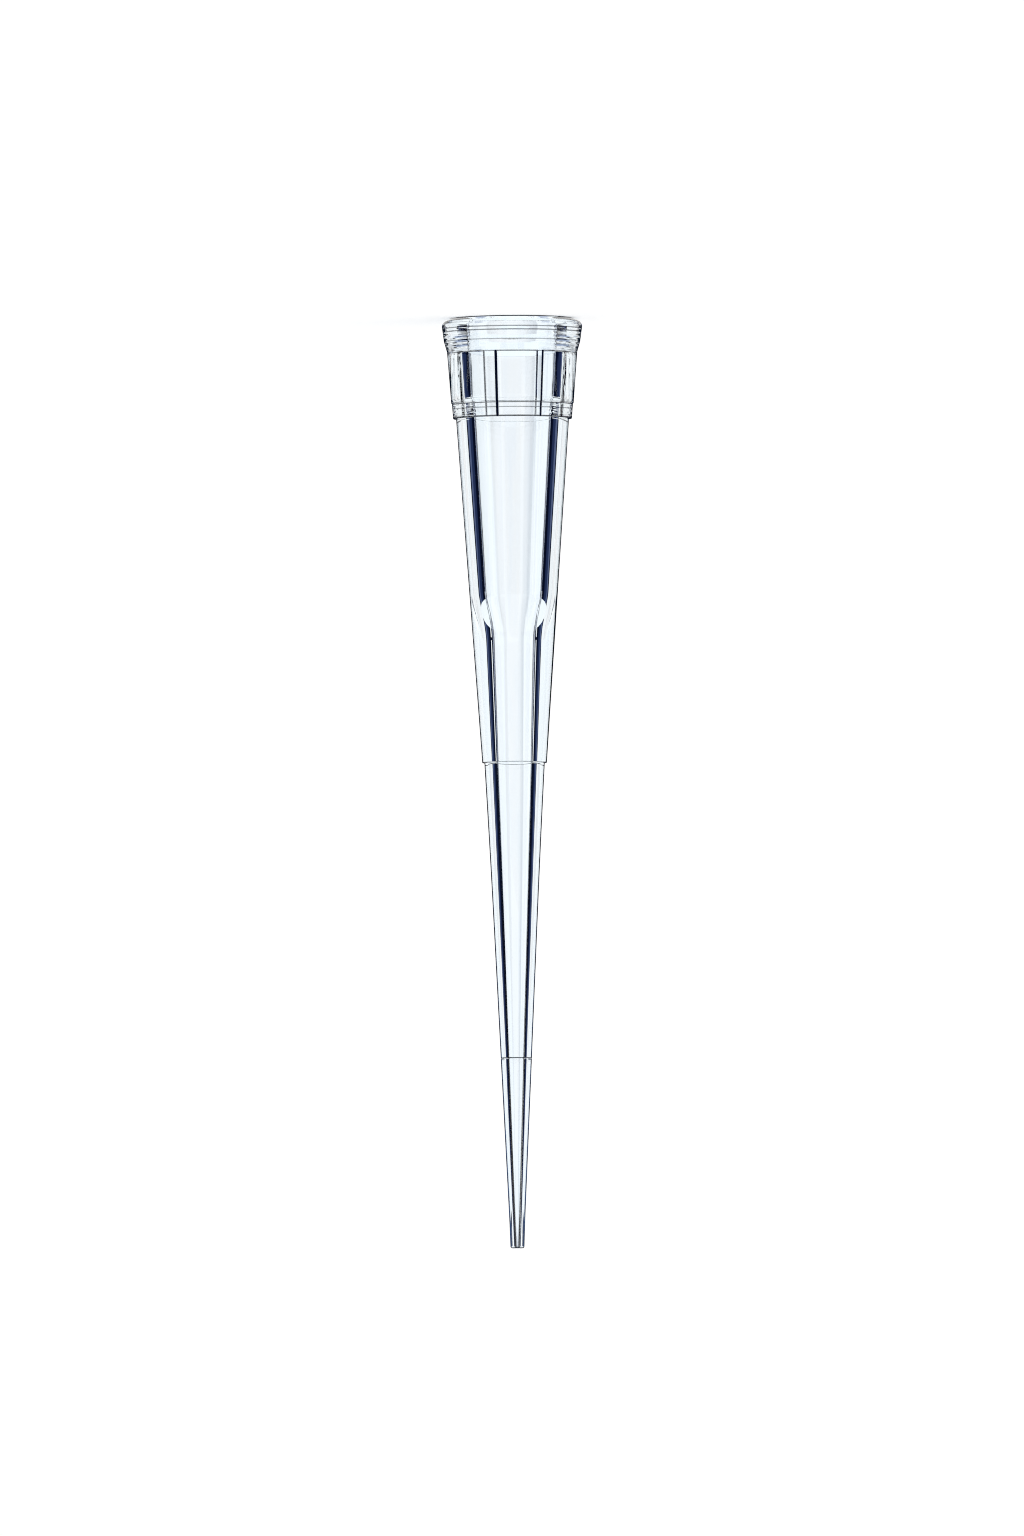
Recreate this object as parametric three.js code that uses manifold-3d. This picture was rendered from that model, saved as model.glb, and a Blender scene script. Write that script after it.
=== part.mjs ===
// A 200 microlitre universal pipette tip: one injection-moulded piece of clear
// polypropylene, in millimetres. It stands on its rim, so z = 0 is the face of the
// socket mouth and +Z runs along the axis to the dispensing end.

import * as THREE from 'three';
import { mergeVertices } from 'three/addons/utils/BufferGeometryUtils.js';
import Module from 'manifold-3d';

const wasm = await Module();
wasm.setup();

// Overall
const tipLength = 51;
const facetsAround = 72;

// Rim ring, the widest band, round the socket mouth: a flat face, a bevel and a wall
const rimFaceRadius = 3.3;
const rimBevelRadius = 3.77;
const rimBevelZ = 0.22;
const rimRadius = 3.85;
const rimWidestZ = 0.42;
const rimFootRadius = 3.735;
const rimFootZ = 1.28;

// Collar under the rim
const collarTopZ = 1.86;
const collarTopRadius = 3.568;
const collarTaper = 0.076;
const collarRingZ = 4.7;
const collarRingStep = 0.035;
const collarHeight = 5.52;
const ledgeChamfer = 0.03;

// Windows: shallow flutes round the front of the collar that run out through its ledge,
// each from one angle to another in degrees, measured from the front (-Y) towards -X
const windows = [[-58, -25.6], [-15.4, 23.4], [27.8, 58]];
const windowTopZ = 1.95;
const windowDepth = 0.09;

// Body cone, down to the shoulder that marks the first volume
const bodyTopRadius = 3.095;
const shoulderZ = 24.4;
const bodyEndRadius = 1.768;
const shoulderStep = 0.115;

// Shaft below the shoulder, two slender cones and a nose
const shaftBendZ = 30;
const shaftBendRadius = 1.35;
const noseZ = 49.5;
const noseRadius = 0.43;
const endRadius = 0.38;
const endRounding = 0.2;

// Fine ring engraved round the shaft
const markZ = 40.6;
const markWidth = 0.08;
const markDepth = 0.02;

// Socket that takes the pipette's cone, with a mouth that flares out to the rim face
const mouthRadius = 2.7;
const mouthFlare = 0.9;
const mouthSteps = 5;
const socketTopRadius = 2.48;
const socketEndRadius = 2.31;
const socketEndZ = 4.37;
const sealRadius = 2.2;
const sealZ = 4.75;

// Bore: an upper cone, a smooth neck and two lower cones to the orifice
const boreTopZ = 5.3;
const boreTopRadius = 2.155;
const boreUpperTaper = 0.0577;
const neckStartZ = 15;
const neckEndZ = 17.7;
const neckSteps = 10;
const boreLowerRadius = 1.185;
const boreWaistZ = 24.2;
const boreWaistRadius = 0.99;
const boreBendZ = 37.45;
const boreBendRadius = 0.54;
const orificeRadius = 0.13;

// Points on a quarter circle, from angle `from` to angle `to` in degrees
function arc(centreR, centreZ, radius, from, to, steps) {
  return Array.from({ length: steps + 1 }, (_, step) => {
    const angle = THREE.MathUtils.degToRad(from + ((to - from) * step) / steps);
    return [centreR + radius * Math.cos(angle), centreZ + radius * Math.sin(angle)];
  });
}

function collarRadius(z) {
  return collarTopRadius - collarTaper * (z - collarTopZ);
}

// The bore blends from its upper cone to its lower one along an S-shaped neck
function neckRadius(z) {
  const upper = boreTopRadius - boreUpperTaper * (z - boreTopZ);
  const lowerTaper = (boreLowerRadius - boreWaistRadius) / (boreWaistZ - neckEndZ);
  const lower = boreLowerRadius - lowerTaper * (z - neckEndZ);
  const blend = THREE.MathUtils.smoothstep(z, neckStartZ, neckEndZ);
  return THREE.MathUtils.lerp(upper, lower, blend);
}

// Outside of the moulding, [radius, z], from the rim face to the dispensing end
function outerProfile() {
  const ringTop = collarRadius(collarRingZ) - collarRingStep;
  const ringEnd = collarRadius(collarHeight) - collarRingStep;
  const markRadius = THREE.MathUtils.mapLinear(
    markZ, shaftBendZ, noseZ, shaftBendRadius, noseRadius);
  return [
    [rimFaceRadius, 0],
    [rimBevelRadius, rimBevelZ],
    [rimRadius, rimWidestZ],
    [rimFootRadius, rimFootZ],
    [collarTopRadius, collarTopZ],
    [collarRadius(collarRingZ - collarRingStep), collarRingZ - collarRingStep],
    [ringTop, collarRingZ],
    [ringEnd, collarHeight - ledgeChamfer],
    [ringEnd - ledgeChamfer, collarHeight],
    [bodyTopRadius, collarHeight],
    [bodyEndRadius, shoulderZ],
    [bodyEndRadius - shoulderStep, shoulderZ],
    [shaftBendRadius, shaftBendZ],
    [markRadius, markZ - markWidth / 2],
    [markRadius - markDepth, markZ],
    [markRadius, markZ + markWidth / 2],
    [noseRadius, noseZ],
    ...arc(endRadius - endRounding, tipLength - endRounding, endRounding, 0, 90, 3),
  ];
}

// The mouth follows the socket's taper and opens with the cube of the height above its start
function mouthRadiusAt(z) {
  const taper = (socketTopRadius - socketEndRadius) / (socketEndZ - mouthFlare);
  const rise = mouthFlare - z;
  const opening = mouthRadius - socketTopRadius - taper * mouthFlare;
  return socketTopRadius + taper * rise + opening * (rise / mouthFlare) ** 3;
}

// Inside of the moulding, from the orifice back to the socket mouth
function boreProfile() {
  const neck = Array.from({ length: neckSteps + 1 }, (_, step) => {
    const z = THREE.MathUtils.lerp(neckEndZ, neckStartZ, step / neckSteps);
    return [neckRadius(z), z];
  });
  const mouth = Array.from({ length: mouthSteps + 1 }, (_, step) => {
    const z = mouthFlare * (1 - step / mouthSteps);
    return [mouthRadiusAt(z), z];
  });
  return [
    [orificeRadius, tipLength],
    [boreBendRadius, boreBendZ],
    [boreWaistRadius, boreWaistZ],
    ...neck,
    [boreTopRadius, boreTopZ],
    [sealRadius, sealZ],
    [socketEndRadius, socketEndZ],
    ...mouth,
  ];
}

// Turns a closed [radius, z] outline round the Z axis
function turned(outline) {
  const points = [...outline, outline[0]].map(([r, z]) => new THREE.Vector2(r, z));
  return new THREE.LatheGeometry(points, facetsAround).rotateX(Math.PI / 2);
}

function toSolid(geometry) {
  geometry.deleteAttribute('normal');
  geometry.deleteAttribute('uv');
  const merged = mergeVertices(geometry, 1e-5);
  return new wasm.Manifold(new wasm.Mesh({
    numProp: 3,
    vertProperties: new Float32Array(merged.attributes.position.array),
    triVerts: new Uint32Array(merged.index.array),
  }));
}

function toGeometry(solid) {
  const { vertProperties, triVerts } = solid.getMesh();
  const geometry = new THREE.BufferGeometry();
  geometry.setAttribute('position', new THREE.BufferAttribute(vertProperties, 3));
  geometry.setIndex(new THREE.BufferAttribute(triVerts, 1));
  geometry.computeVertexNormals();
  return geometry;
}

// A wedge about the Z axis between two angles from the front, tall enough to cross the collar
function wedge(start, end, reach) {
  const outline = [start, (start + end) / 2, end].map((angle) => {
    const turn = THREE.MathUtils.degToRad(-90 - angle);
    return new THREE.Vector2(reach * Math.cos(turn), reach * Math.sin(turn));
  });
  const shape = new THREE.Shape([new THREE.Vector2(0, 0), ...outline]);
  const depth = collarHeight + 1;
  return toSolid(new THREE.ExtrudeGeometry(shape, { depth, bevelEnabled: false }));
}

// The windows' waste: a ring that bites into the collar, kept only where the windows are
function windowCutter() {
  const clear = rimRadius + 1;
  const pastLedge = collarHeight + 0.1;
  const ringStart = collarRingZ - collarRingStep;
  const ring = toSolid(turned([
    [collarRadius(windowTopZ) - windowDepth, windowTopZ],
    [clear, windowTopZ],
    [clear, pastLedge],
    [collarRadius(pastLedge) - collarRingStep - windowDepth, pastLedge],
    [collarRadius(collarRingZ) - collarRingStep - windowDepth, collarRingZ],
    [collarRadius(ringStart) - windowDepth, ringStart],
  ]));
  return windows
    .map(([start, end]) => ring.intersect(wedge(start, end, clear * 1.5)))
    .reduce((cutter, piece) => cutter.add(piece));
}

function pipetteTip() {
  const moulding = toSolid(turned([...outerProfile(), ...boreProfile()]));
  const clearPlastic = new THREE.MeshStandardMaterial({
    color: 0xe6eff8,
    roughness: 0.08,
    metalness: 0,
    transparent: true,
    opacity: 0.35,
  });
  const mesh = new THREE.Mesh(toGeometry(moulding.subtract(windowCutter())), clearPlastic);
  mesh.name = 'pipette_tip';
  return mesh;
}

const part = new THREE.Group();
part.add(pipetteTip());

export default part;
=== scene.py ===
# Looks of a clear universal pipette tip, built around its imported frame.
# It stands on its rim with the dispensing end up; the camera is turned over,
# so that the render shows it the way it is used, rim up.

import math
from types import SimpleNamespace

import bpy
import numpy as np
from mathutils import Matrix, Vector


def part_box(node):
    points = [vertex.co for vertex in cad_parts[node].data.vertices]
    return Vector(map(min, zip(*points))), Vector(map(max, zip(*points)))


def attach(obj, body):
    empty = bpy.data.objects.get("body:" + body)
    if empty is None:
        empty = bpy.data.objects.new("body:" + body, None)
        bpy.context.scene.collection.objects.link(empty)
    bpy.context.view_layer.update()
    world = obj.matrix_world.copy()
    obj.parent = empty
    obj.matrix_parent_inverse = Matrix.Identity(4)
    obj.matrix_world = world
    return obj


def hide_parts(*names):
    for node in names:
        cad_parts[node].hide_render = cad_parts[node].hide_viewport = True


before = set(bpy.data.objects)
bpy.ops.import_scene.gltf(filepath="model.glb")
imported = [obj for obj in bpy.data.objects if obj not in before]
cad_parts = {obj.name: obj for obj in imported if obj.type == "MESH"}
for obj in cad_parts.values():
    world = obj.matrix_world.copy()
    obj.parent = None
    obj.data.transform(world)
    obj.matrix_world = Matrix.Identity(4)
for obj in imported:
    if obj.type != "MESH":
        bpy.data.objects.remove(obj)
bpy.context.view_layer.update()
mm = 0.001

print("frame loaded")

low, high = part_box("pipette_tip")

# lengths in millimetres; z runs from the rim face to the dispensing end, and a pair is a
# radius and its height, but for the neck, which is two heights
tip = {
    "length": (high[2] - low[2]) / mm,
    "rimRadius": (high[0] - low[0]) / 2 / mm,
    "rimFaceRadius": 3.3,
    "rimShoulder": (3.77, 0.22),
    "rimWidestZ": 0.42,
    "rimFoot": (3.735, 1.28),
    "collarTop": (3.568, 1.86),
    "collarTaper": 0.076,
    "collarMiddleZ": 3.3,          # where the widths of the windows' walls are measured
    "collarRingZ": 4.7,
    "collarRingStep": 0.035,
    "collarEndZ": 5.52,
    "ledgeChamfer": 0.012,
    "bodyTopRadius": 3.095,
    "shoulder": (1.768, 24.4),
    "shoulderStep": 0.115,
    "shaftBend": (1.35, 30.0),
    "markZ": 40.6,
    "markWidth": 0.06,
    "markDepth": 0.02,
    "nose": (0.43, 49.5),
    "endRadius": 0.38,
    "endRounding": 0.25,
    "mouthRadius": 2.7,
    "mouthFlare": 0.9,
    "socketTop": 2.48,
    "socketEnd": (2.31, 4.37),
    "seal": (2.2, 4.75),
    "boreTop": (2.155, 5.3),
    "boreTaper": 0.0577,
    "neck": (15.0, 17.7),
    "boreLowerRadius": 1.185,
    "boreWaist": (0.99, 24.2),
    "boreBend": (0.54, 37.45),
    "orificeRadius": 0.13,
    # shallow windows round the front, each with its start and end in degrees from the front
    # towards -X, and the widths of the walls that lead down to it there
    "windows": [(-59.0, -25.4, 0.4, 0.06), (-16.2, 23.6, 0.14, 0.06), (27.0, 59.0, 0.14, 0.4)],
    "windowTopZ": 1.93,
    "windowTopSlope": 0.02,        # half the height of the slope that leads down into a window
    "windowDepth": 0.09,
}

# how finely the surface is cut
cuts = {
    "corner": 6,                   # steps round a corner
    "neck": 41,                    # rings down the neck
    "mouth": 17,                   # rings down the flare
    "front": 61,                   # angles round the front
    "wall": 13,                    # angles across a window's side wall
    "back": 59,                    # angles round the back
    "leastAngle": 0.07,            # degrees between two neighbours, at least
    "cornerShare": 0.45,           # of the shorter edge beside it, the most that a corner takes
    "leadShare": 0.35,             # straight lead beside a corner, as a share of its reach
    "longestLead": 0.02,           # mm
}


def collarRadius(z):
    return tip["collarTop"][0] - tip["collarTaper"] * (z - tip["collarTop"][1])


def outerOutline():
    # stations of the outside: radius on the ribs, height, window depth, corner rounding
    ringZ, step = tip["collarRingZ"], tip["collarRingStep"]
    ringEnd = collarRadius(tip["collarEndZ"]) - step
    chamfer = tip["ledgeChamfer"]
    bend, nose = tip["shaftBend"], tip["nose"]
    markRadius = np.interp(tip["markZ"], [bend[1], nose[1]], [bend[0], nose[0]])
    depth, top, slope = tip["windowDepth"], tip["windowTopZ"], tip["windowTopSlope"]
    return [
        (tip["rimFaceRadius"], 0.0, 0, 0.15),
        (*tip["rimShoulder"], 0, 0.1),
        (tip["rimRadius"], tip["rimWidestZ"], 0, 0.12),
        (*tip["rimFoot"], 0, 0.05),
        (*tip["collarTop"], 0, 0.08),
        (collarRadius(top - slope), top - slope, 0, 0.02),
        (collarRadius(top + slope), top + slope, depth, 0.02),
        (collarRadius(ringZ - step), ringZ - step, depth, 0.01),
        (collarRadius(ringZ) - step, ringZ, depth, 0.01),
        (ringEnd, tip["collarEndZ"] - chamfer, depth, 0.005),
        (ringEnd - chamfer, tip["collarEndZ"], depth, 0.005),
        (tip["bodyTopRadius"], tip["collarEndZ"], 0, 0.01),
        (*tip["shoulder"], 0, 0.03),
        (tip["shoulder"][0] - tip["shoulderStep"], tip["shoulder"][1], 0, 0.03),
        (*bend, 0, 3.0),
        (markRadius, tip["markZ"] - tip["markWidth"] / 2, 0, 0.02),
        (markRadius - tip["markDepth"], tip["markZ"], 0, 0.02),
        (markRadius, tip["markZ"] + tip["markWidth"] / 2, 0, 0.02),
        (*nose, 0, 0.8),
        (tip["endRadius"], tip["length"], 0, tip["endRounding"]),
    ]


def neckStations():
    # radius(z) = upper cone + (lower cone - upper cone) * t^2 (3 - 2t), t from 0 to 1 down the neck
    start, end = tip["neck"]
    waist = tip["boreWaist"]
    z = np.linspace(end, start, cuts["neck"])
    upper = tip["boreTop"][0] - tip["boreTaper"] * (z - tip["boreTop"][1])
    lowerTaper = (tip["boreLowerRadius"] - waist[0]) / (waist[1] - end)
    lower = tip["boreLowerRadius"] - lowerTaper * (z - end)
    t = (z - start) / (end - start)
    blend = t * t * (3 - 2 * t)
    return [(radius, height, 0, 0) for radius, height in zip(upper + (lower - upper) * blend, z)]


def mouthStations():
    # radius(z) = socket's cone + widening * (1 - z / flare)^3
    flare = tip["mouthFlare"]
    z = np.linspace(flare, 0.0, cuts["mouth"])[1:-1]
    taper = (tip["socketTop"] - tip["socketEnd"][0]) / (tip["socketEnd"][1] - flare)
    widening = tip["mouthRadius"] - tip["socketTop"] - taper * flare
    radii = tip["socketTop"] + taper * (flare - z) + widening * (1 - z / flare) ** 3
    return [(radius, height, 0, 0) for radius, height in zip(radii, z)]


def boreOutline():
    # stations of the inside, from the orifice back to the mouth
    return [
        (tip["orificeRadius"], tip["length"], 0, 0.03),
        (*tip["boreBend"], 0, 3.0),
        (*tip["boreWaist"], 0, 2.0),
        *neckStations(),
        (*tip["boreTop"], 0, 0.2),
        (*tip["seal"], 0, 0.15),
        (*tip["socketEnd"], 0, 0.15),
        *mouthStations(),
        (tip["mouthRadius"], 0.0, 0, 0.06),
    ]


def roundedLoop(stations):
    # closed outline whose corners become parabolic arcs: each corner P between A and B is
    # replaced by (1-t)^2 A' + 2t(1-t) P + t^2 B', with A' and B' a rounding's length away
    points = np.array([station[:3] for station in stations], dtype=float)
    rounding = np.array([station[3] for station in stations], dtype=float)
    back = np.roll(points, 1, axis=0) - points
    ahead = np.roll(points, -1, axis=0) - points
    backLength = np.linalg.norm(back, axis=1)
    aheadLength = np.linalg.norm(ahead, axis=1)
    reach = np.minimum(rounding, cuts["cornerShare"] * np.minimum(backLength, aheadLength))
    first = points + back * (reach / backLength)[:, None]
    last = points + ahead * (reach / aheadLength)[:, None]
    # a short straight lead keeps the shading true beside a corner
    lead = np.minimum(cuts["leadShare"] * reach, cuts["longestLead"])
    before = points + back * ((reach + lead) / backLength)[:, None]
    after = points + ahead * ((reach + lead) / aheadLength)[:, None]
    t = np.linspace(0, 1, cuts["corner"] + 1)[None, :, None]
    curve = (1 - t) ** 2 * first[:, None] + 2 * t * (1 - t) * points[:, None] + t ** 2 * last[:, None]
    loop = np.concatenate([before[:, None], curve, after[:, None]], axis=1)
    keep = np.ones(loop.shape[:2], dtype=bool)
    keep[rounding == 0] = False
    keep[rounding == 0, 0] = True
    return loop[keep]


def aroundAngles():
    # angles round the axis and how far each is into a window: 0 on a rib, 1 in a window,
    # and between them the smooth step t^2 (3 - 2t) over the wall's width
    degreesPerMm = math.degrees(1 / collarRadius(tip["collarMiddleZ"]))
    stations = [np.linspace(-90, 90, cuts["front"])]
    for start, end, first, last in tip["windows"]:
        stations += [np.linspace(start, start + first * degreesPerMm, cuts["wall"]),
                     np.linspace(end - last * degreesPerMm, end, cuts["wall"])]
    across = np.unique(np.round(np.concatenate(stations), 3))
    across = across[np.diff(across, prepend=-91) > cuts["leastAngle"]]
    panel = np.zeros_like(across)
    for start, end, first, last in tip["windows"]:
        rise = np.clip((across - start) / (first * degreesPerMm), 0, 1)
        fall = np.clip((end - across) / (last * degreesPerMm), 0, 1)
        panel += rise * rise * (3 - 2 * rise) * fall * fall * (3 - 2 * fall)
    step = 180 / (cuts["back"] + 1)
    behind = np.linspace(90 + step, 270 - step, cuts["back"])
    angles = (-90 - np.concatenate([across, behind])) % 360
    panels = np.concatenate([panel, np.zeros_like(behind)])
    order = np.argsort(angles)
    return np.radians(angles[order]), panels[order]


def ringsToMesh(name, radius, height, angles):
    # point(ring, angle) = (radius cos angle, radius sin angle, height): a grid that closes on
    # itself both ways, like a doughnut
    rings, around = radius.shape
    x = radius * np.cos(angles)
    y = radius * np.sin(angles)
    z = np.broadcast_to(height[:, None], radius.shape)
    points = np.stack([x, y, z], axis=-1).reshape(-1, 3) * mm
    i, j = np.meshgrid(np.arange(rings), np.arange(around), indexing="ij")
    nextI, nextJ = (i + 1) % rings, (j + 1) % around
    quads = np.stack([i * around + j, i * around + nextJ,
                      nextI * around + nextJ, nextI * around + j], axis=-1).reshape(-1, 4)
    mesh = bpy.data.meshes.new(name)
    mesh.vertices.add(len(points))
    mesh.vertices.foreach_set("co", points.ravel())
    mesh.loops.add(quads.size)
    mesh.loops.foreach_set("vertex_index", quads.ravel())
    mesh.polygons.add(len(quads))
    mesh.polygons.foreach_set("loop_start", np.arange(0, quads.size, 4))
    mesh.update(calc_edges=True)
    mesh.validate()
    mesh.polygons.foreach_set("use_smooth", np.ones(len(quads), dtype=bool))
    return mesh


def pipetteTip():
    # radius(s, angle) = rib radius(s) - window depth(s) * panel(angle)
    loop = roundedLoop(outerOutline() + boreOutline())
    angles, panel = aroundAngles()
    radius = loop[:, :1] - loop[:, 2:] * panel[None, :]
    mesh = ringsToMesh("pipette_tip_shell", radius, loop[:, 1], angles[None, :])
    obj = bpy.data.objects.new("pipette_tip_shell", mesh)
    bpy.context.collection.objects.link(obj)
    print("tip mesh:", len(mesh.polygons) * 2, "triangles")
    return obj


class Wire:
    # a socket of a node tree: operators on it add Math nodes
    def __init__(self, tree, socket=None):
        self.tree = tree
        self.socket = socket

    def node(self, kind, settings=None, values=None, out=0):
        made = self.tree.nodes.new(kind)
        for key, value in (settings or {}).items():
            if key == "stops":
                ramp = made.color_ramp
                while len(ramp.elements) < len(value):
                    ramp.elements.new(0.5)
                for stop, (place, colour) in zip(ramp.elements, value):
                    stop.position = place
                    stop.color = colour
            else:
                setattr(made, key, value)
        for key, value in (values or {}).items():
            if isinstance(value, Wire):
                self.tree.links.new(value.socket, made.inputs[key])
            else:
                made.inputs[key].default_value = value
        return Wire(self.tree, made.outputs[out]) if made.outputs else made

    def math(self, operation, *terms):
        return self.node("ShaderNodeMath", {"operation": operation}, dict(enumerate(terms)))

    def mixed(self, factor, first, second):
        return self.node("ShaderNodeMix", {"data_type": "RGBA"}, {0: factor, 6: first, 7: second}, out=2)

    def __add__(self, other):
        return self.math("ADD", self, other)

    def __radd__(self, other):
        return self.math("ADD", other, self)

    def __sub__(self, other):
        return self.math("SUBTRACT", self, other)

    def __rsub__(self, other):
        return self.math("SUBTRACT", other, self)

    def __mul__(self, other):
        return self.math("MULTIPLY", self, other)

    def __rmul__(self, other):
        return self.math("MULTIPLY", other, self)

    def __truediv__(self, other):
        return self.math("DIVIDE", self, other)

    def __pow__(self, other):
        return self.math("POWER", self, other)


def newMaterial(name):
    material = bpy.data.materials.new(name)
    material.use_nodes = True
    material.node_tree.nodes.clear()
    return material, Wire(material.node_tree)


# lengths in millimetres; where a pattern fades in or out, the pair runs from where it is
# nothing to where it is whole
plastic = {
    "ior": 1.49,
    "tint": (0.965, 0.984, 1.0, 1),
    "denseTint": (0.93, 0.965, 1.0, 1),
    "roughness": 0.003,
    "shadow": (0.93, 0.95, 0.97, 1),          # the light that still reaches its shadow
    # ripples of the melt along the tip: cycles per mm round it and along it, height, and where
    # between 0 and 1 they turn dense and cloudy
    "flowScale": (1.6, 0.12),
    "flowBump": 0.0006,
    "dense": (0.4, 0.7),
    "cloudy": (0.45, 0.75),
    "haze": 0.006,                 # roughness that the cloudiest spots add
    # painted shade along every outline, a dark-coloured gloss that stays dark whatever it reflects:
    # its width, the growth of that with height, and how steeply a surface may lean and still have it
    "outlineShadeColour": (0.05, 0.09, 0.18, 1),
    "outlineRoughness": 0.05,
    "outlineWidth": (0.033, 0.0006),
    "outlineFade": (1.3, 0.7),
    "uprightFade": (0.45, 0.25),
    # slow noise that bends the ridges and streaks: cycles per mm round the tip and along it
    "wanderScale": (0.35, 0.6),
    # fine ridges round the sides of the rim and the ledge
    "ridgeHeight": 0.008,
    "ridgePitch": 0.24,
    "ridgeWander": 6,
    "ridgeSides": (1.9, 2.5),
    "rimZ": (1.9, 1.7),
    "ledgeZ": ((4.6, 4.7), (5.6, 5.5)),
    # upright streaks at the sides of the collar
    "streakHeight": 0.005,
    "streakPitch": 0.2,
    "streakWander": 1.2,
    "streakSides": (2.75, 3.0),
    "streakZ": ((1.95, 2.1), (4.62, 4.5)),
    # painted shade: a dark bluish tint in the ridges, low on the rim's sides
    "paintedShadeTint": (0.14, 0.19, 0.34, 1),
    "paintedShadeRidges": (-0.7, 0.6),
    "paintedShadeSides": ((2.2, 2.5), (3.3, 3.05)),
    "paintedShadeZ": ((0.9, 1.15), (1.9, 1.75)),
    "outsideRadius": (2.8, 3.0),   # the ridges, streaks and painted rim shade lie outside of this
    # painted shade along the moulded edges, near-black lines mixed in where they show dark:
    # height, width, how dark, and the radius that they lie outside of
    "paintedEdgeShadeColour": (0.0015, 0.003, 0.014, 1),
    "edgeFade": (0.65, 0.35),      # in widths, across a line
    "frontFade": (0.15, -0.1),     # they end where y is this share of the radius
    "paintedShadeRings": [(0.02, 0.08, 1.0, 3.2), (0.6, 0.07, 0.61, 3), (0.79, 0.07, 0.68, 3),
                  (1.3, 0.06, 0.5, 3), (1.95, 0.06, 0.61, 3), (4.75, 0.06, 0.78, 3),
                  (5.01, 0.06, 0.55, 3), (5.49, 0.08, 0.83, 3), (24.38, 0.05, 0.37, 1.4),
                  (40.58, 0.055, 0.85, 0.7), (50.97, 0.09, 0.68, 0.15)],
    # the same up the collar: degrees from the front towards -X, width and how dark
    "paintedShadeWindowLines": [(-55.0, 0.06, 0.29), (-26.3, 0.15, 0.8), (-14.9, 0.13, 1.0),
                    (22.9, 0.07, 0.5), (28.5, 0.17, 1.0), (55.0, 0.06, 0.29)],
    "paintedShadeWindowEnds": (1.91, 5.52, 2.95),     # from z, to z, outside of this radius
}


def partPlaces(g):
    # the point on the part in mm, its distance from the axis, and its angle from the front
    # towards -X
    place = g.node("ShaderNodeTexCoord", out="Object")
    x, y, z = [g.node("ShaderNodeSeparateXYZ", values={0: place}, out=axis) / mm for axis in "XYZ"]
    return SimpleNamespace(
        x=x, y=y, z=z, sideways=g.math("ABSOLUTE", x),
        radius=(x * x + y * y) ** 0.5, angle=g.math("ARCTAN2", x * -1, y * -1))


def smoothStep(g, value, ends):
    return g.node("ShaderNodeMapRange", {"interpolation_type": "SMOOTHSTEP"},
                  {0: value, 1: ends[0], 2: ends[1], 3: 0.0, 4: 1.0})


def between(g, value, fades):
    return smoothStep(g, value, fades[0]) * smoothStep(g, value, fades[1])


def paintedEdgeShade(g):
    # painted shade: 1 on the darkest moulded edges, where a matt near-black is mixed in, 0 elsewhere; it
    # fades out towards the back
    at = partPlaces(g)

    def line(distance, width):
        start, end = plastic["edgeFade"]
        return smoothStep(g, g.math("ABSOLUTE", distance), (width * start, width * end))

    shade = 0
    top, end, wall = plastic["paintedShadeWindowEnds"]
    inCollar = g.math("GREATER_THAN", at.z, top) * g.math("LESS_THAN", at.z, end)
    inCollar = inCollar * g.math("GREATER_THAN", at.radius, wall)
    for degrees, width, dark in plastic["paintedShadeWindowLines"]:
        across = (at.angle - math.radians(degrees)) * at.radius
        shade = g.math("MAXIMUM", shade, line(across, width) * dark * inCollar)
    for height, width, dark, wall in plastic["paintedShadeRings"]:
        outside = g.math("GREATER_THAN", at.radius, wall)
        shade = g.math("MAXIMUM", shade, line(at.z - height, width) * dark * outside)
    return shade * smoothStep(g, at.y / at.radius, plastic["frontFade"])


def meltNoise(g, scale):
    # noise stretched along the tip or round it
    at = partPlaces(g)
    around, along = scale
    place = g.node("ShaderNodeCombineXYZ", values={0: at.x * around, 1: at.y * around, 2: at.z * along})
    return g.node("ShaderNodeTexNoise", values={"Vector": place, "Scale": 1.0, "Detail": 2.0})


def paintedOutlineShade(g):
    # painted outline shade: 1 where the surface turns away so far that it lies within a line's
    # width of its outline: a round wall of radius r reaches r cos^2 / 2 past the point seen at that
    # cosine
    at = partPlaces(g)
    facing = g.node("ShaderNodeLayerWeight", values={"Blend": 0.5}, out="Facing")
    past = (1 - facing) ** 2 * at.radius * 0.5
    outside = 1 - g.node("ShaderNodeNewGeometry", out="Backfacing")
    normal = g.node("ShaderNodeNewGeometry", out="Normal")
    lean = g.math("ABSOLUTE", g.node("ShaderNodeSeparateXYZ", values={0: normal}, out="Z"))
    upright = smoothStep(g, lean, plastic["uprightFade"])
    base, growth = plastic["outlineWidth"]
    return smoothStep(g, past / (at.z * growth + base), plastic["outlineFade"]) * outside * upright


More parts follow.
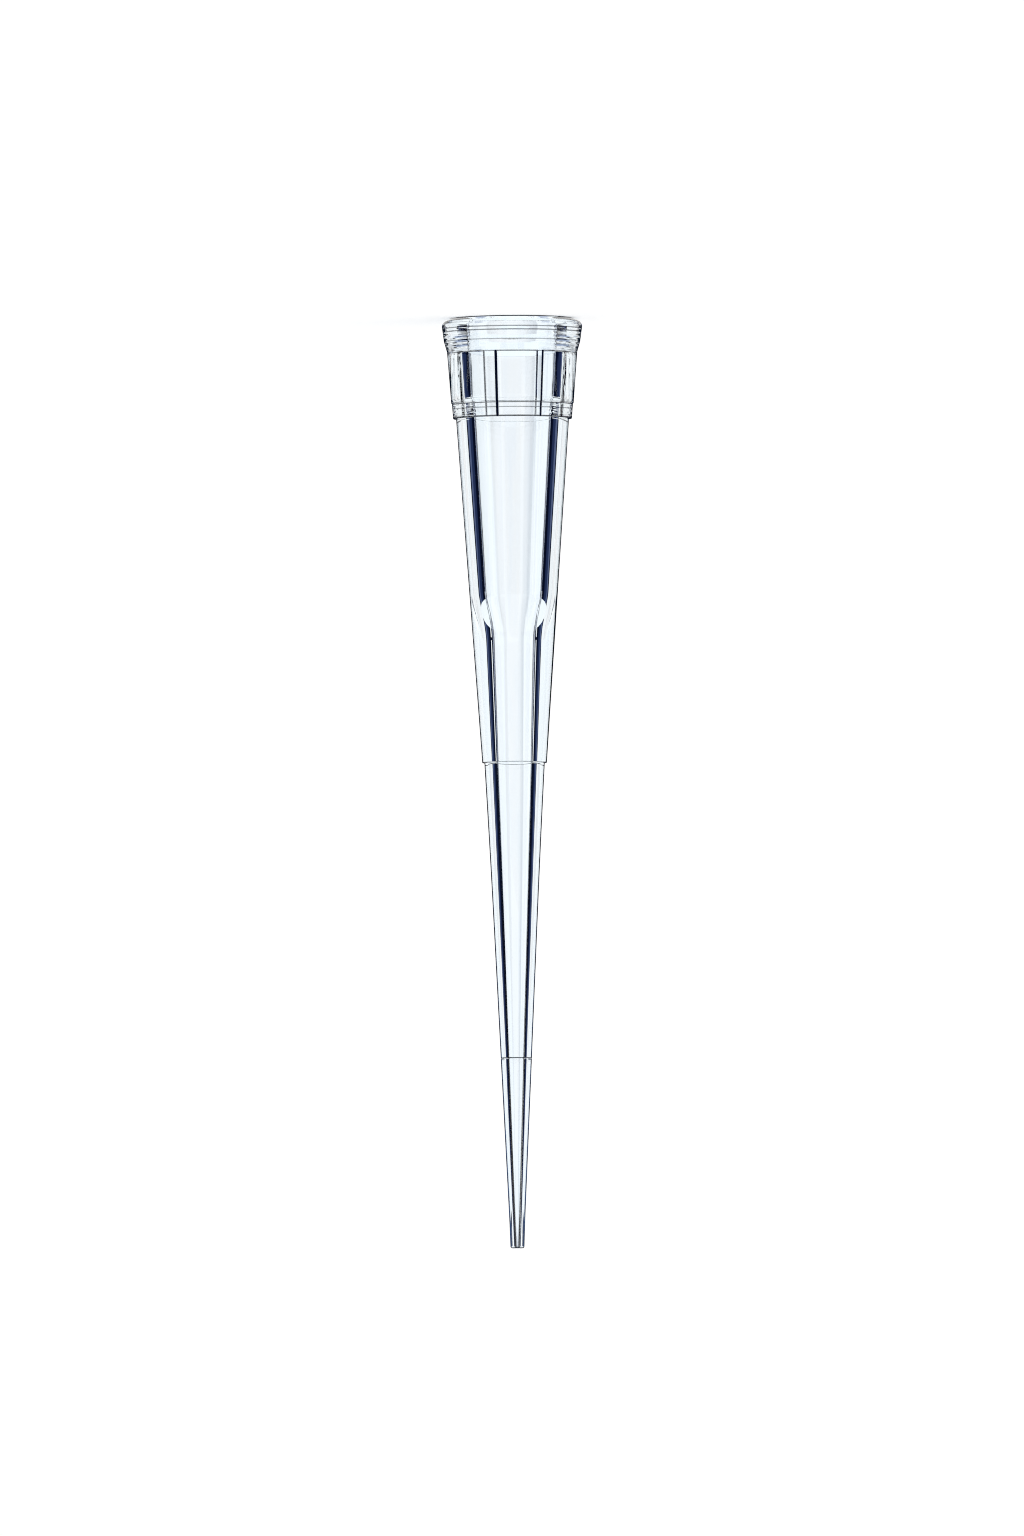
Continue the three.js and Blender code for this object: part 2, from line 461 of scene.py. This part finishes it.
def clearPlastic():
    material, g = newMaterial("clear_polypropylene")
    at = partPlaces(g)
    flow = meltNoise(g, plastic["flowScale"])
    wander = meltNoise(g, plastic["wanderScale"])
    onOutside = smoothStep(g, at.radius, plastic["outsideRadius"])

    onRim = g.math("MAXIMUM", smoothStep(g, at.z, plastic["rimZ"]), between(g, at.z, plastic["ledgeZ"]))
    onRim = onRim * onOutside * smoothStep(g, at.sideways, plastic["ridgeSides"])
    ridges = g.math("SINE", at.z * (2 * math.pi / plastic["ridgePitch"])
                    + wander * plastic["ridgeWander"])
    onCollar = between(g, at.z, plastic["streakZ"]) * onOutside
    onCollar = onCollar * smoothStep(g, at.sideways, plastic["streakSides"])
    streaks = g.math("SINE", at.x * (2 * math.pi / plastic["streakPitch"])
                     + wander * plastic["streakWander"])
    ripples = flow * plastic["flowBump"] + ridges * onRim * plastic["ridgeHeight"]
    ripples = ripples + streaks * onCollar * plastic["streakHeight"]
    normal = g.node("ShaderNodeBump", values={"Strength": 1.0, "Distance": mm, "Height": ripples})

    # painted shade: a dark bluish tint mixed into the ridges low on the rim's sides
    inPaintedShade = between(g, at.z, plastic["paintedShadeZ"]) * between(g, at.sideways, plastic["paintedShadeSides"])
    paintedRimShade = inPaintedShade * smoothStep(g, ridges, plastic["paintedShadeRidges"]) * onOutside
    colour = g.mixed(smoothStep(g, flow, plastic["dense"]), plastic["tint"], plastic["denseTint"])
    colour = g.mixed(paintedRimShade, colour, plastic["paintedShadeTint"])
    haze = smoothStep(g, flow, plastic["cloudy"]) * plastic["haze"]
    body = g.node("ShaderNodeBsdfPrincipled", values={
        "Base Color": colour, "IOR": plastic["ior"], "Transmission Weight": 1.0, "Normal": normal,
        "Roughness": plastic["roughness"] + haze})

    # painted shade: a dark-coloured gloss mixed in along the outlines
    gloss = g.node("ShaderNodeBsdfGlossy", values={
        "Color": plastic["outlineShadeColour"], "Roughness": plastic["outlineRoughness"]})
    outlined = g.node("ShaderNodeMixShader", values={0: paintedOutlineShade(g), 1: body, 2: gloss})
    # painted shade: a matt near-black mixed in along the moulded edges
    dark = g.node("ShaderNodeBsdfDiffuse", values={"Color": plastic["paintedEdgeShadeColour"]})
    edged = g.node("ShaderNodeMixShader", values={0: paintedEdgeShade(g), 1: outlined, 2: dark})
    clear = g.node("ShaderNodeBsdfTransparent", values={"Color": plastic["shadow"]})
    shadowRay = g.node("ShaderNodeLightPath", out="Is Shadow Ray")
    whole = g.node("ShaderNodeMixShader", values={0: shadowRay, 1: edged, 2: clear})
    g.node("ShaderNodeOutputMaterial", values={"Surface": whole})
    return material


stage = {
    "floorSize": 30.0,             # m
    "floorTone": (0.9, 0.9, 0.9, 1),
    "floorFill": 0.25,
    "sunStrength": 1.2,
    "sunWidth": 40,                # degrees
    "sunTurn": (20, -25, 0),       # degrees
    "worldForDiffuse": 0.55,
}

white = (1, 1, 1, 1)


def floorMaterial():
    # shown to the camera and to diffuse light, left out for gloss and for what is seen
    # through the plastic
    material, g = newMaterial("pale_floor")
    plain = g.node("ShaderNodeBsdfDiffuse", values={"Color": stage["floorTone"]})
    glow = g.node("ShaderNodeEmission", values={"Color": white, "Strength": stage["floorFill"]})
    shown = g.node("ShaderNodeAddShader", values={0: plain, 1: glow})
    clear = g.node("ShaderNodeBsdfTransparent")
    glossyRay = g.node("ShaderNodeLightPath", out="Is Glossy Ray")
    throughRay = g.node("ShaderNodeLightPath", out="Is Transmission Ray")
    leftOut = g.math("MAXIMUM", glossyRay, throughRay)
    whole = g.node("ShaderNodeMixShader", values={0: leftOut, 1: shown, 2: clear})
    g.node("ShaderNodeOutputMaterial", values={"Surface": whole})
    return material


def makeFloor():
    half = stage["floorSize"] / 2
    mesh = bpy.data.meshes.new("floor")
    mesh.from_pydata([(-half, -half, 0), (half, -half, 0), (half, half, 0), (-half, half, 0)],
                     [], [(0, 1, 2, 3)])
    floor = bpy.data.objects.new("floor", mesh)
    floor.data.materials.append(floorMaterial())
    bpy.context.collection.objects.link(floor)


pale = (1.04, 1.1, 1.13, 1)
brightWhite = (1.04, 1.075, 1.085, 1)
clearWhite = (1.01, 1.02, 1.02, 1)
greyLeft = (0.87, 0.89, 0.9, 1)
greyRight = (0.72, 0.76, 0.8, 1)
slate = (0.1, 0.13, 0.24, 1)
deepBlue = (0.018, 0.03, 0.085, 1)
navy = (0.0015, 0.003, 0.014, 1)

# what the clear plastic sees and reflects, by direction: angles are degrees off the Y axis,
# minus towards +X, and levels are the z of a direction
cards = {
    # seen level or nearly so
    "level": [(-72, navy), (-71.5, brightWhite), (-68, brightWhite), (-66.6, navy),
              (-57, navy), (-54, deepBlue), (-45, deepBlue), (-43, slate), (-37.5, slate),
              (-36, navy), (-32.2, navy), (-31.2, brightWhite), (-9.4, brightWhite),
              (-9.0, greyLeft), (-5, clearWhite), (3, clearWhite), (9.0, greyRight),
              (9.4, brightWhite), (31.2, brightWhite), (32.2, navy), (36, navy),
              (37.5, slate), (43, slate), (45, deepBlue), (54, deepBlue), (57, navy),
              (66.6, navy), (68, brightWhite), (71.5, brightWhite), (72, navy), (77, navy),
              (77.5, brightWhite)],
    # seen steeply, by degrees off the nearer of the X and Y axes; it starts below the first
    # limit on the +Y and -X axes, and below the second on the -Y and +X axes
    "steep": [(26, navy), (28, brightWhite)],
    "frontLimit": -0.2,
    "backLimit": -0.164,
    "clearLimit": (-0.4, 45),      # within this angle of +Y it starts below this level only
    "deepLimit": -0.57,            # pale below it
    "highLimit": 0.2,              # pale above it
    "levelLimit": -0.1,            # pale below it where it isn't steep
    "sideLimit": (60, -0.085),     # at less than this angle, the level that takes its place
    "shallow": (66.6, 72, -0.045, 0.02),      # navy between these two angles and two levels
    # reflected: white above the high limit, and between these two angles, of which the first
    # counts on the +Y side only
    "sheen": (32, 62),
    "lowSheen": -0.075,            # white below it at any angle
    "steepSheen": 15,              # where it is steep, white this near to the X and Y axes only
    "reflected": (0.01, 0.022, 0.05, 1),      # everywhere else
}


def makeWorld():
    world = bpy.data.worlds.new("studio")
    bpy.context.scene.world = world
    world.use_nodes = True
    world.node_tree.nodes.clear()
    g = Wire(world.node_tree)

    def above(value, limit):
        return g.math("GREATER_THAN", value, limit)

    def below(value, limit):
        return g.math("LESS_THAN", value, limit)

    direction = g.node("ShaderNodeTexCoord", out="Generated")
    x, y, z = [g.node("ShaderNodeSeparateXYZ", values={0: direction}, out=axis) for axis in "XYZ"]
    side = g.math("ARCTAN2", x * -1, g.math("ABSOLUTE", y)) * (180 / math.pi)
    away = g.math("ABSOLUTE", side)
    offAxis = 45 - g.math("ABSOLUTE", away - 45)

    # what shows through the plastic
    levelStops = [((angle + 90) / 180, colour) for angle, colour in cards["level"]]
    level = g.node("ShaderNodeValToRGB", {"stops": levelStops}, {0: (side + 90) / 180})
    nearSide, farSide, lowLevel, topLevel = cards["shallow"]
    isShallow = above(away, nearSide) * below(away, farSide) * above(z, lowLevel) * below(z, topLevel)
    level = g.mixed(isShallow, level, navy)
    steepStops = [(angle / 45, colour) for angle, colour in cards["steep"]]
    steep = g.node("ShaderNodeValToRGB", {"stops": steepStops}, {0: offAxis / 45})
    flat = (x * x + y * y + 1e-6) ** 0.5      # never quite nothing, as it divides
    facing = (y - x) / flat        # 1 on the +Y and -X axes, -1 on the other two
    middle = (cards["frontLimit"] + cards["backLimit"]) / 2
    swing = (cards["frontLimit"] - cards["backLimit"]) / 2
    isSteep = below(z, middle + facing * swing)
    clearLevel, clearAngle = cards["clearLimit"]
    isClear = above(z, clearLevel) * above(y, 0) * below(away, clearAngle)
    isSteep = isSteep * (1 - isClear)
    sideAngle, sideLevel = cards["sideLimit"]
    limit = below(away, sideAngle) * (sideLevel - cards["levelLimit"]) + cards["levelLimit"]
    isGap = below(z, limit) * (1 - isSteep)
    isHigh = above(z, cards["highLimit"])
    isPale = isHigh + below(z, cards["deepLimit"]) + isGap
    shown = g.mixed(isPale, g.mixed(isSteep, level, steep), pale)

    # what its gloss reflects
    nearEdge, farEdge = cards["sheen"]
    offFront = g.math("MAXIMUM", above(away, nearEdge), below(y, 0))
    levelSheen = g.math("MAXIMUM", offFront * below(away, farEdge), below(z, cards["lowSheen"]))
    steepSheen = below(offAxis, cards["steepSheen"])
    sheen = levelSheen + (steepSheen - levelSheen) * isSteep
    reflected = g.mixed(g.math("MAXIMUM", isHigh, sheen), cards["reflected"], white)

    cameraRay = g.node("ShaderNodeLightPath", out="Is Camera Ray")
    glossyRay = g.node("ShaderNodeLightPath", out="Is Glossy Ray")
    throughRay = g.node("ShaderNodeLightPath", out="Is Transmission Ray")
    diffuseLight = g.node("ShaderNodeBackground", values={
        "Color": white, "Strength": stage["worldForDiffuse"]})
    toCamera = g.node("ShaderNodeBackground", values={"Color": white, "Strength": 1.0})
    mirrored = g.node("ShaderNodeBackground", values={"Color": reflected, "Strength": 1.0})
    through = g.node("ShaderNodeBackground", values={"Color": shown, "Strength": 1.0})
    plain = g.node("ShaderNodeMixShader", values={0: cameraRay, 1: diffuseLight, 2: toCamera})
    glossy = g.node("ShaderNodeMixShader", values={0: glossyRay, 1: plain, 2: mirrored})
    whole = g.node("ShaderNodeMixShader", values={0: throughRay, 1: glossy, 2: through})
    g.node("ShaderNodeOutputWorld", values={"Surface": whole})


def makeLamp():
    sun = bpy.data.lights.new("soft_key", "SUN")
    sun.energy = stage["sunStrength"]
    sun.angle = math.radians(stage["sunWidth"])
    lamp = bpy.data.objects.new("soft_key", sun)
    lamp.rotation_euler = [math.radians(turn) for turn in stage["sunTurn"]]
    lamp.visible_glossy = False
    lamp.visible_transmission = False
    bpy.context.collection.objects.link(lamp)


view = {
    "distance": 2.0,               # m
    "elevation": 2.4,              # degrees above level
    "lean": -0.34,                 # degrees past upside down
    "frameHeight": 1.65,           # what the frame shows from bottom to top, in tip lengths
    "aimHeight": 0.4839,           # in tip lengths, as the next one
    "aimSide": 0.0028,
    "sensor": 36.0,                # mm
    "clip": (0.01, 100),           # m
}


def makeCamera():
    length = tip["length"] * mm
    data = bpy.data.cameras.new("camera")
    data.sensor_width = view["sensor"]
    data.lens = view["sensor"] * view["distance"] / (view["frameHeight"] * length)
    data.clip_start, data.clip_end = view["clip"]
    camera = bpy.data.objects.new("camera", data)
    tilt = math.radians(view["elevation"])
    aim = Vector((view["aimSide"] * length, 0, view["aimHeight"] * length))
    back = Vector((0, -math.cos(tilt), math.sin(tilt)))
    turn = back.to_track_quat("Z", "Y").to_matrix().to_4x4()
    roll = Matrix.Rotation(math.pi + math.radians(view["lean"]), 4, "Z")
    camera.matrix_world = Matrix.Translation(aim + back * view["distance"]) @ turn @ roll
    bpy.context.collection.objects.link(camera)
    bpy.context.scene.camera = camera


makeCamera()
makeLamp()
makeWorld()
makeFloor()
print("stage made")

tipObject = pipetteTip()
tipObject.data.materials.append(clearPlastic())
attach(tipObject, "root")
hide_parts("pipette_tip")
print("plastic made")

# enough bounces for light to cross every wall of the tip, and a narrow filter for its fine lines
scene = bpy.context.scene
scene.view_settings.view_transform = "Standard"
scene.cycles.max_bounces = 40
scene.cycles.filter_width = 1.0
scene.cycles.glossy_bounces = 2
scene.cycles.transmission_bounces = 40
scene.cycles.transparent_max_bounces = 32
